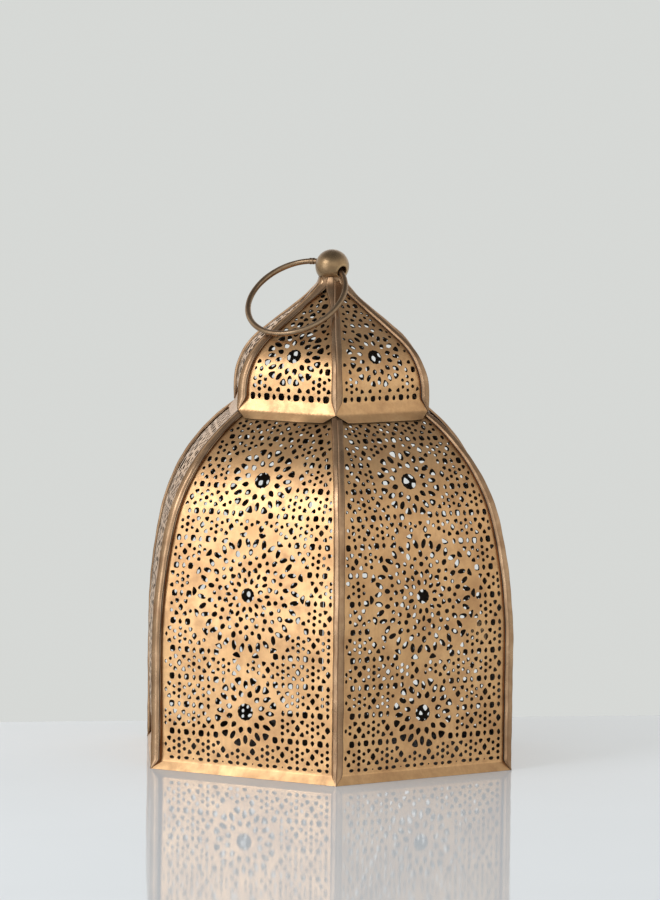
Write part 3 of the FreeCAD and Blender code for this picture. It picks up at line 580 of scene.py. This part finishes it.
def seam(name, side_line, crest, low, high, turn, width_at, replaced):
    """One corner seam, from its section carried along the corner between two panels."""
    rng = random.Random(name)
    phases = [rng.uniform(0, math.tau) for _ in range(6)]
    stations = np.linspace(low, high, max(40, int((high - low) / 1.1)))
    points = []
    for s in stations:
        across, up, _, _ = [float(v) for v in side_line.at(s)]
        corner = across / COS
        reach = max(0.12, (float(crest(up)) - corner) / RIB_PROUD)
        sway = 0.10 * math.sin(0.11 * s + phases[0]) + 0.06 * math.sin(0.31 * s + phases[1])
        crest_wave = 1 + 0.025 * math.sin(0.23 * s + phases[2]) + 0.02 * math.sin(0.71 * s + phases[3])
        widen = width_at(up)
        for t, n in SEAM_SECTION:
            if n > 0:
                height = n * reach * crest_wave
                t = t * widen * (1 + 0.05 * math.sin(0.4 * s + phases[4])) + sway * n / RIB_PROUD
            else:
                height = n
                t = t * widen if n > -0.4 else t
            points.append((corner + height, t, up))
    sides = len(SEAM_SECTION)
    faces, materials = [], []
    for i in range(len(stations) - 1):
        for j in range(sides):
            a, b = i * sides + j, i * sides + (j + 1) % sides
            faces.append((a, a + sides, b + sides, b))
            # The foot strips get the near-black material: painted shade along the seam's feet.
            materials.append(1 if j in SHADE_STRIPS else 0)
    faces.append(tuple(range(sides)))
    last = (len(stations) - 1) * sides
    faces.append(tuple(last + j for j in reversed(range(sides))))
    materials += [1, 1]
    piece = new_mesh(name, turned(points, turn), faces, [SEAM_METAL, EDGE_AND_SHADE_METAL], "lantern",
                     materials, sharp=50)
    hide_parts(replaced)


def body_crest(height):
    """Distance of the body seams' crest from the axis at a height."""
    line_across = np.where(BODY_LINE.up < FLARE_TOP[1] + 1, BODY_FLAT, BODY_LINE.across)
    return np.interp(height, BODY_LINE.up, line_across) / COS + RIB_PROUD


dome_above = DOME_LINE.s >= 0


def dome_crest(height):
    """Distance of the dome seams' crest from the axis at a height."""
    line_across = np.where(DOME_LINE.up < DOME_STRAIGHT[1], DOME_FLAT, DOME_LINE.across)
    crest = np.interp(height, DOME_LINE.up[dome_above], line_across[dome_above]) / COS + RIB_PROUD
    drawn_in = np.interp(height, [DOME_TOP - 2.0, DOME_TOP, DOME_TOP + 1.3, SEAM_SUMMIT[1]],
                         [0.0, 0.25, 0.75, 1.15])
    return crest - drawn_in


def body_seam_width(height):
    """A body seam's width: it runs out in a mitre where the panels flare at the foot."""
    return float(np.interp(height, [0.0, 0.6, FLARE_TOP[1]], [0.1, 0.16, 1.0]))


def dome_seam_width(height):
    """A dome seam's width: a mitre at the ridge, and wider where it meets the solder under the ball."""
    return float(np.interp(height, [RIDGE[1], RIDGE[1] + 0.6, BAND_TOP[1], DOME_TOP - 16, DOME_TOP - 7,
                                    DOME_TOP - 5, DOME_TOP - 3, DOME_TOP - 1, DOME_TOP + 0.5, SEAM_SUMMIT[1]],
                           [0.1, 0.16, 1.0, 0.88, 0.83, 1.08, 1.42, 1.65, 1.65, 1.4]))


# ---------------------------------------------------------------- round pieces

def lathe(name, section, place, steps, material):
    """A turned brass piece from its closed half section, radius and height, about place's Z."""
    points = []
    for i in range(steps):
        angle = math.tau * i / steps
        points += [place @ Vector((r * math.cos(angle), r * math.sin(angle), h)) for r, h in section]
    m = len(section)
    faces = []
    for i in range(steps):
        following = (i + 1) % steps
        for j in range(m):
            k = (j + 1) % m
            faces.append((i * m + j, following * m + j, following * m + k, i * m + k))
    return new_mesh(name, [tuple(p) for p in points], faces, [material], "lantern", sharp=60)


def arc_section(middle, radius, first, last, count):
    """Points of a round stretch of a half section, its angles measured from straight out."""
    return [(middle[0] + radius * math.cos(math.radians(first + (last - first) * i / count)),
             middle[1] + radius * math.sin(math.radians(first + (last - first) * i / count)))
            for i in range(count + 1)]


RING_JOINT = next(joint for joint in frame["joints"] if joint["name"] == "ring_swing")
HOLE_AXIS = -Vector(RING_JOINT["axis"]).normalized()
BALL_MIDDLE = Vector(RING_JOINT["pos_m"]) / MM
# Radii of the bore, of the ring to the middle of its wire, of the wire, and of the ferrule's ends.
HOLE_RADIUS = 2.0
RING_RADIUS = 19.4
RING_WIRE = 1.09
FERRULE = 1.13
FERRULE_ENDS = (26.5, 32.5)  # degrees along the ring, from the ball


def finial_ball():
    """The turned ball, bored through along the ring's axis, the bore's rims rounded over."""
    rim = 0.35
    edge = math.degrees(math.acos((HOLE_RADIUS + rim) / (BALL_RADIUS - rim)))
    rim_height = (BALL_RADIUS - rim) * math.sin(math.radians(edge))
    section = arc_section((0, 0), BALL_RADIUS, -edge, edge, 36)
    section += arc_section((HOLE_RADIUS + rim, rim_height), rim, edge, 180, 6)
    section += arc_section((HOLE_RADIUS + rim, -rim_height), rim, 180, 360 - edge, 6)
    facing = HOLE_AXIS.to_track_quat("Z", "Y").to_matrix().to_4x4()
    ball = lathe("finial_ball_bored", section, Matrix.Translation(BALL_MIDDLE) @ facing, 72, TURNED_METAL)
    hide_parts("finial_ball")


def finial_neck():
    """The solder fillet that flows from the ball on to the tops of the seams."""
    bore = 2.0
    side = [(5.5, 3.15), (5.2, 2.6), (4.98, 2.0), (4.9, 1.3), (4.95, 0.6), (5.05, -0.1), (5.25, -0.9),
            (5.6, -1.7), (6.1, -2.5)]
    outline = [(bore, side[0][1])] + side + [(bore, side[-1][1])]
    section = [(radius, DOME_TOP + above) for radius, above in outline]
    neck = lathe("finial_neck_fillet", section, Matrix.Identity(4), 60, SEAM_METAL)
    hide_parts("finial_neck")


def ring_frame():
    """The ring's middle and the directions in its plane, read from where the ring lies."""
    mount = next(m for m in frame["record"]["mounts"] if m["name"] == "hang_ring")
    middle = Vector(mount["pos_m"]) / MM
    outward = (BALL_MIDDLE - middle).normalized()
    return middle, outward, -HOLE_AXIS, outward.cross(-HOLE_AXIS)


def wire_along_ring(name, radius_at, first, last, steps, closed, replaced):
    """A round wire or sleeve along the ring, from one angle to another, its radius given by angle."""
    middle, outward, beside, normal = ring_frame()
    sides = 20
    points = []
    for i in range(steps):
        share = i / (steps if closed else steps - 1)
        angle = math.radians(first + (last - first) * share)
        radial = outward * math.cos(angle) + beside * math.sin(angle)
        spine = middle + radial * RING_RADIUS
        for j in range(sides):
            around = math.tau * j / sides
            out = radial * math.cos(around) + normal * math.sin(around)
            points.append(tuple(spine + out * radius_at(angle)))
    faces = []
    for i in range(steps if closed else steps - 1):
        for j in range(sides):
            a, b = i * sides + j, i * sides + (j + 1) % sides
            c, d = ((i + 1) % steps) * sides + (j + 1) % sides, ((i + 1) % steps) * sides + j
            faces.append((a, b, c, d))
    if not closed:
        faces += [tuple(reversed(range(sides))), tuple((steps - 1) * sides + j for j in range(sides))]
    piece = new_mesh(name, points, faces, [RING_METAL], "ring", sharp=50)
    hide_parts(replaced)


def carrying_ring():
    """The hand-drawn wire ring, slightly uneven, and the ferrule over its joint."""
    def wire(angle):
        return RING_WIRE * (1 + 0.018 * math.sin(5 * angle + 1) + 0.012 * math.sin(13 * angle))
    wire_along_ring("carry_ring_wire", wire, 0, 360, 220, True, "carry_ring")
    start, end = FERRULE_ENDS

    def sleeve(angle):
        place = (math.degrees(angle) - start) / (end - start)
        return FERRULE + 0.14 * (1 - (2 * place - 1) ** 6) + 0.05 * math.cos(place * math.tau)
    wire_along_ring("ring_ferrule_sleeve", sleeve, start, end, 17, False, "ring_ferrule")


# ---------------------------------------------------------------- materials

class Nodes:
    """A short way to build a material's node tree."""

    def __init__(self, name):
        self.material = bpy.data.materials.new(name)
        self.material.use_nodes = True
        self.tree = self.material.node_tree
        self.shader = self.tree.nodes["Principled BSDF"]
        self.place = self.add("ShaderNodeTexCoord").outputs["Object"]

    def add(self, kind, **settings):
        node = self.tree.nodes.new(kind)
        for key, value in settings.items():
            if key in node.inputs:
                self.feed(value, node.inputs[key])
            else:
                setattr(node, key, value)
        return node

    def feed(self, value, socket):
        if isinstance(value, bpy.types.NodeSocket):
            self.tree.links.new(value, socket)
        else:
            socket.default_value = value

    def stretched(self, scale):
        """The piece's own coordinates, scaled."""
        node = self.add("ShaderNodeMapping")
        self.feed(self.place, node.inputs["Vector"])
        node.inputs["Scale"].default_value = scale
        return node.outputs["Vector"]

    def noise(self, scale, detail=4.0, rough=0.55, stretch=(1, 1, 1)):
        """Noise with features of about 1 / scale metres."""
        node = self.add("ShaderNodeTexNoise", Scale=scale, Detail=detail, Roughness=rough)
        self.feed(self.stretched(stretch), node.inputs["Vector"])
        return node.outputs["Fac"]

    def ramp(self, value, stops):
        """Colours or greys blended by a value."""
        node = self.add("ShaderNodeValToRGB")
        self.feed(value, node.inputs["Fac"])
        elements = node.color_ramp.elements
        while len(elements) < len(stops):
            elements.new(0.5)
        for element, (position, colour) in zip(elements, stops):
            element.position = position
            element.color = colour if len(colour) == 4 else (*colour, 1)
        return node.outputs["Color"]

    def mix(self, share, first, second):
        """Two colours mixed by a share."""
        node = self.add("ShaderNodeMix", data_type="RGBA")
        self.feed(share, node.inputs[0])
        self.feed(first, node.inputs[6])
        self.feed(second, node.inputs[7])
        return node.outputs[2]

    def span(self, value, low, high, to_low, to_high):
        """A value moved from one range to another, and held inside it."""
        node = self.add("ShaderNodeMapRange")
        for socket, number in zip(node.inputs[:5], (value, low, high, to_low, to_high)):
            self.feed(number, socket)
        return node.outputs["Result"]

    def bump(self, height, strength, distance, below=None):
        """A bump from a height."""
        node = self.add("ShaderNodeBump", Strength=strength, Distance=distance)
        self.feed(height, node.inputs["Height"])
        if below is not None:
            self.feed(below, node.inputs["Normal"])
        return node.outputs["Normal"]


def grey(value):
    return (value, value, value, 1)


def antique_metal(name, light, middle, dark, stain, metallic, roughness, brushing, wear_and_highlight=0.0,
                  lacquer=0.0, grain=1.0):
    """Brass with a brown patina: cloudy colour, fine upright brushing, specks, and a painted highlight on worn
    high edges.

    lacquer is the weight of a thin clear coat, and grain scales the bumps.
    """
    n = Nodes(name)
    clouds = n.noise(55, 5, 0.6)
    patches = n.noise(190, 4, 0.6)
    streaks = n.noise(900, 3, 0.6, (1, 1, 0.06))
    specks = n.noise(2600, 2, 0.6)
    colour = n.ramp(clouds, [(0.30, dark), (0.50, middle), (0.72, light)])
    stained = n.ramp(patches, [(0.46, grey(0)), (0.70, grey(1))])
    colour = n.mix(n.span(stained, 0, 1, 0, 0.5), colour, (*stain, 1))
    colour = n.mix(n.span(streaks, 0.35, 0.65, 0.0, brushing), colour, (*dark, 1))
    colour = n.mix(n.span(specks, 0.62, 0.72, 0.0, 0.35), colour, (*stain, 1))
    if wear_and_highlight:
        edge = n.add("ShaderNodeNewGeometry").outputs["Pointiness"]
        # High edges lightened: partly wear, partly a painted highlight.
        colour = n.mix(n.span(edge, 0.50, 0.60, 0.0, wear_and_highlight), colour, (*[min(1, c * 1.35) for c in light], 1))
        # Hollows and creases darkened nearly to black: painted shade.
        colour = n.mix(n.span(edge, 0.49, 0.42, 0.0, 0.7), colour, (*[c * 0.35 for c in dark], 1))
    n.feed(colour, n.shader.inputs["Base Color"])
    n.shader.inputs["Metallic"].default_value = metallic
    rough = n.span(patches, 0.3, 0.7, roughness - 0.07, roughness + 0.09)
    n.feed(rough, n.shader.inputs["Roughness"])
    n.shader.inputs["Coat Weight"].default_value = lacquer
    n.shader.inputs["Coat Roughness"].default_value = 0.35
    fine = n.bump(streaks, 0.25 * grain, 0.00006)
    n.feed(n.bump(n.noise(420, 3, 0.5), 0.35 * grain, 0.00015, fine), n.shader.inputs["Normal"])
    return n.material


def shaded_inside_metal():
    """The unpolished inside, painted near-black as shade."""
    n = Nodes("shaded_inside")
    # Near-black browns: painted shade for the inside and the parts within.
    colour = n.ramp(n.noise(80, 5, 0.6), [(0.3, (0.030, 0.022, 0.016)), (0.6, (0.085, 0.060, 0.040)),
                                          (0.8, (0.16, 0.11, 0.07))])
    n.feed(colour, n.shader.inputs["Base Color"])
    n.shader.inputs["Metallic"].default_value = 0.6
    n.feed(n.span(n.noise(300), 0.3, 0.7, 0.5, 0.75), n.shader.inputs["Roughness"])
    n.feed(n.bump(n.noise(700), 0.3, 0.0001), n.shader.inputs["Normal"])
    return n.material


def stone():
    """The pale, faintly clouded floor with a soft gloss."""
    n = Nodes("pale_floor")
    colour = n.ramp(n.noise(5, 4, 0.5), [(0.3, (0.86, 0.90, 0.915)), (0.7, (0.92, 0.955, 0.97))])
    n.feed(colour, n.shader.inputs["Base Color"])
    n.feed(n.span(n.noise(14, 3), 0.3, 0.7, 0.035, 0.06), n.shader.inputs["Roughness"])
    n.shader.inputs["Specular IOR Level"].default_value = 0.2
    n.shader.inputs["Emission Color"].default_value = (0.93, 1.0, 1.0, 1)
    n.shader.inputs["Emission Strength"].default_value = 0.07
    return n.material


SHEET_METAL = antique_metal("aged_sheet", (0.84, 0.51, 0.235), (0.73, 0.42, 0.18), (0.54, 0.29, 0.115),
                            (0.45, 0.22, 0.09), 0.86, 0.36, 0.28, lacquer=0.6)
# Near-black: the punched hole walls and seam ends, and the painted shade strips at the seams' feet.
EDGE_AND_SHADE_METAL = antique_metal("punched_edge_and_shade", (0.06, 0.04, 0.022), (0.03, 0.02, 0.012), (0.012, 0.008, 0.005),
                           (0.02, 0.01, 0.006), 0.3, 0.6, 0.3)
SEAM_METAL = antique_metal("aged_seam", (0.64, 0.41, 0.235), (0.45, 0.28, 0.155), (0.25, 0.145, 0.075),
                           (0.30, 0.15, 0.07), 0.88, 0.30, 0.22, wear_and_highlight=0.5, lacquer=0.1, grain=0.4)
TURNED_METAL = antique_metal("aged_turned", (0.50, 0.335, 0.165), (0.35, 0.225, 0.11), (0.18, 0.11, 0.05),
                             (0.20, 0.11, 0.05), 0.92, 0.30, 0.15, wear_and_highlight=0.3, lacquer=0.4)
RING_METAL = antique_metal("aged_wire", (0.50, 0.35, 0.21), (0.36, 0.24, 0.14), (0.21, 0.13, 0.07),
                           (0.24, 0.13, 0.07), 0.92, 0.30, 0.15, wear_and_highlight=0.3, grain=0.35)
INSIDE_SHADE_METAL = shaded_inside_metal()
HARDWARE_METAL = antique_metal("aged_hardware", (0.44, 0.30, 0.17), (0.30, 0.20, 0.11), (0.17, 0.11, 0.06),
                               (0.20, 0.11, 0.06), 0.9, 0.38, 0.2, wear_and_highlight=0.4)

# ---------------------------------------------------------------- the lantern

for wall_name, wall_turn in WALLS.items():
    body_sheet(wall_name, wall_turn)
    dome_sheet(wall_name, wall_turn)
seam_top = BODY_LINE.s_at_height(BODY_TOP)
seam_summit = float(DOME_SEAM_LINE.s[-1])
for corner_name, corner_turn in CORNERS.items():
    seam(f"body_seam_{corner_name}", BODY_LINE, body_crest, 0.0, seam_top, corner_turn,
         body_seam_width, f"body_rib_{corner_name}")
    seam(f"dome_seam_{corner_name}", DOME_SEAM_LINE, dome_crest, 0.0, seam_summit, corner_turn,
         dome_seam_width, f"dome_rib_{corner_name}")
finial_ball()
finial_neck()
carrying_ring()
for node_name, node in frame["nodes"].items():
    if not node.hide_render:
        inner = node_name in ("base_plate", "candle_cup", "cup_rivet", "rib_hub", "finial_stem", "finial_nut",
                              "finial_washer")
        node.data.materials.clear()
        # Parts inside the lantern get the inside colour, painted near-black as shade.
        node.data.materials.append(INSIDE_SHADE_METAL if inner else HARDWARE_METAL)

# ---------------------------------------------------------------- floor, light and camera


def add_floor():
    """A pale slab with its rear edge a little behind the lantern."""
    half, front, rear, thickness = 900, -1600, 86, 30
    turn = math.radians(5.5)
    corners = [Vector((x, y)) for x, y in ((-half, front), (half, front), (half, rear), (-half, rear))]
    corners = [Matrix.Rotation(turn, 2) @ c for c in corners]
    mesh = bpy.data.meshes.new("floor")
    points = [(c.x * MM, c.y * MM, z * MM) for z in (0, -thickness) for c in corners]
    faces = [(0, 1, 2, 3), (7, 6, 5, 4)] + [(i, i + 4, (i + 1) % 4 + 4, (i + 1) % 4) for i in range(4)]
    mesh.from_pydata(points, [], faces)
    mesh.materials.append(stone())
    floor = bpy.data.objects.new("floor", mesh)
    bpy.context.scene.collection.objects.link(floor)
    edge = floor.modifiers.new("soft_edge", "BEVEL")
    edge.width = 0.002
    edge.segments = 3


def add_light(name, place, aim, size, power, colour):
    """A soft rectangular light."""
    data = bpy.data.lights.new(name, "AREA")
    data.shape = "RECTANGLE"
    data.size, data.size_y = size
    data.energy = power
    data.color = colour
    lamp = bpy.data.objects.new(name, data)
    lamp.location = place
    lamp.rotation_euler = (Vector(aim) - Vector(place)).to_track_quat("-Z", "Y").to_euler()
    bpy.context.scene.collection.objects.link(lamp)


def add_world():
    """A pale room: an even wall all round, a bright upper wall and a darker ceiling."""
    world = bpy.data.worlds.new("room")
    world.use_nodes = True
    tree = world.node_tree
    direction = tree.nodes.new("ShaderNodeTexCoord")
    parts = tree.nodes.new("ShaderNodeSeparateXYZ")
    tree.links.new(direction.outputs["Generated"], parts.inputs["Vector"])
    level = tree.nodes.new("ShaderNodeMapRange")
    level.inputs["From Min"].default_value = -1
    tree.links.new(parts.outputs["Z"], level.inputs["Value"])
    ramp = tree.nodes.new("ShaderNodeValToRGB")
    tree.links.new(level.outputs["Result"], ramp.inputs["Fac"])
    elements = ramp.color_ramp.elements
    while len(elements) < 6:
        elements.new(0.5)
    stops = [(0.50, (0.675, 0.69, 0.67)), (0.56, (0.92, 0.92, 0.90)), (0.70, (0.90, 0.90, 0.89)),
             (0.80, (0.58, 0.59, 0.60)), (0.88, (0.27, 0.28, 0.30)), (1.0, (0.16, 0.17, 0.19))]
    for element, (position, colour) in zip(elements, stops):
        element.position = position
        element.color = (*colour, 1)
    tree.links.new(ramp.outputs["Color"], tree.nodes["Background"].inputs["Color"])
    bpy.context.scene.world = world


def add_camera():
    """A long lens a little left of the front seam, nearly seven degrees above level."""
    azimuth, elevation, distance = math.radians(-2.74), math.radians(6.73), 2.2
    anchor, aim = Vector((0, 0, 0.095)), Vector((0, 0, 0.1169))
    toward = Vector((math.cos(elevation) * math.sin(azimuth), -math.cos(elevation) * math.cos(azimuth),
                     math.sin(elevation)))
    data = bpy.data.cameras.new("camera")
    data.sensor_fit = "AUTO"
    data.sensor_width = 36.0
    data.lens = 230.3
    data.clip_start, data.clip_end = 0.05, 50
    camera = bpy.data.objects.new("camera", data)
    camera.location = anchor + toward * distance
    facing = (aim - camera.location).to_track_quat("-Z", "Y").to_matrix()
    roll = Matrix.Rotation(math.radians(0.70), 3, "Z")
    camera.rotation_euler = (facing @ roll).to_euler()
    bpy.context.scene.collection.objects.link(camera)
    bpy.context.scene.camera = camera


add_floor()
add_light("key", place=(-1.2, -0.82, 1.02), aim=(0, 0, 0.1), size=(0.8, 0.6), power=6.5,
          colour=(0.95, 1.0, 1.08))
add_light("low_key", place=(-1.5, -1.05, 0.24), aim=(0, 0, 0.09), size=(1.2, 0.5), power=3.7,
          colour=(0.93, 1.0, 1.12))
add_world()
add_camera()
bpy.context.scene.view_settings.view_transform = "Standard"
